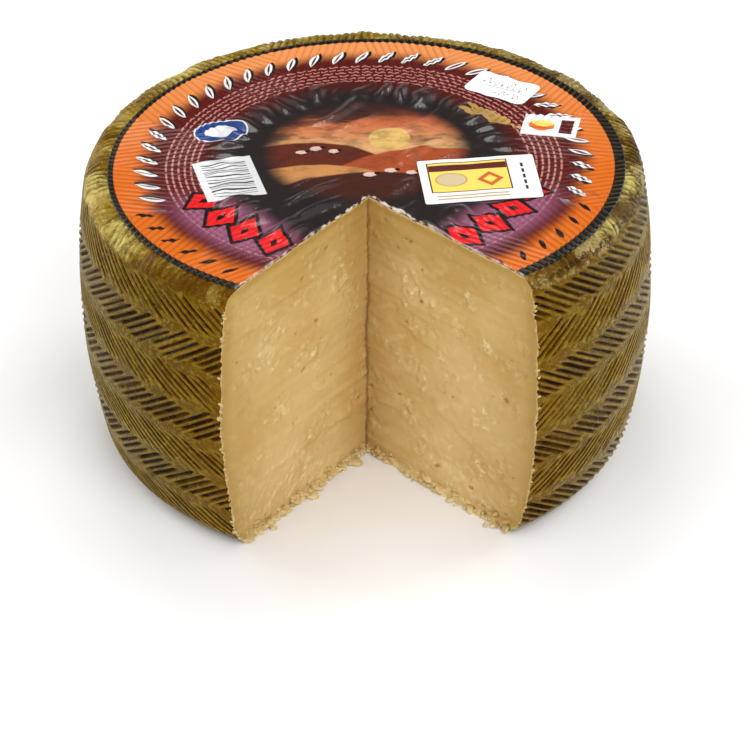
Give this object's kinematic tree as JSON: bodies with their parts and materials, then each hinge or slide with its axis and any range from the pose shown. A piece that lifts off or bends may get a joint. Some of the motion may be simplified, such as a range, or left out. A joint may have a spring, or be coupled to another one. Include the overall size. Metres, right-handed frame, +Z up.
{
  "type": "manchego cheese wheel",
  "caption": "Wheel of hard sheep's cheese with a wedge cut out of it: plaited rind round the side, bare paste on the cuts and a round printed label on top.",
  "frame": {"origin": "on the wheel's axis, in the flat base that it rests on", "axes": "+Z up along the wheel's axis, -Y towards the missing wedge, +X to the right of it"},
  "size_m": [0.1964, 0.1832, 0.1043],
  "materials": {
    "rind": "olive-brown waxy rind with dark slots",
    "paste": "ivory to straw cut paste, slightly oily",
    "label_film": "glossy printed film, orange ring over dark red",
    "seal_paper": "white semi-gloss sticker",
    "tag_paper": "matt white sticker"
  },
  "bodies": {
    "root": {"cheese": "rind", "label": "label_film", "seal_sticker": "seal_paper", "batch_tag": "tag_paper"}
  },
  "joints": []
}
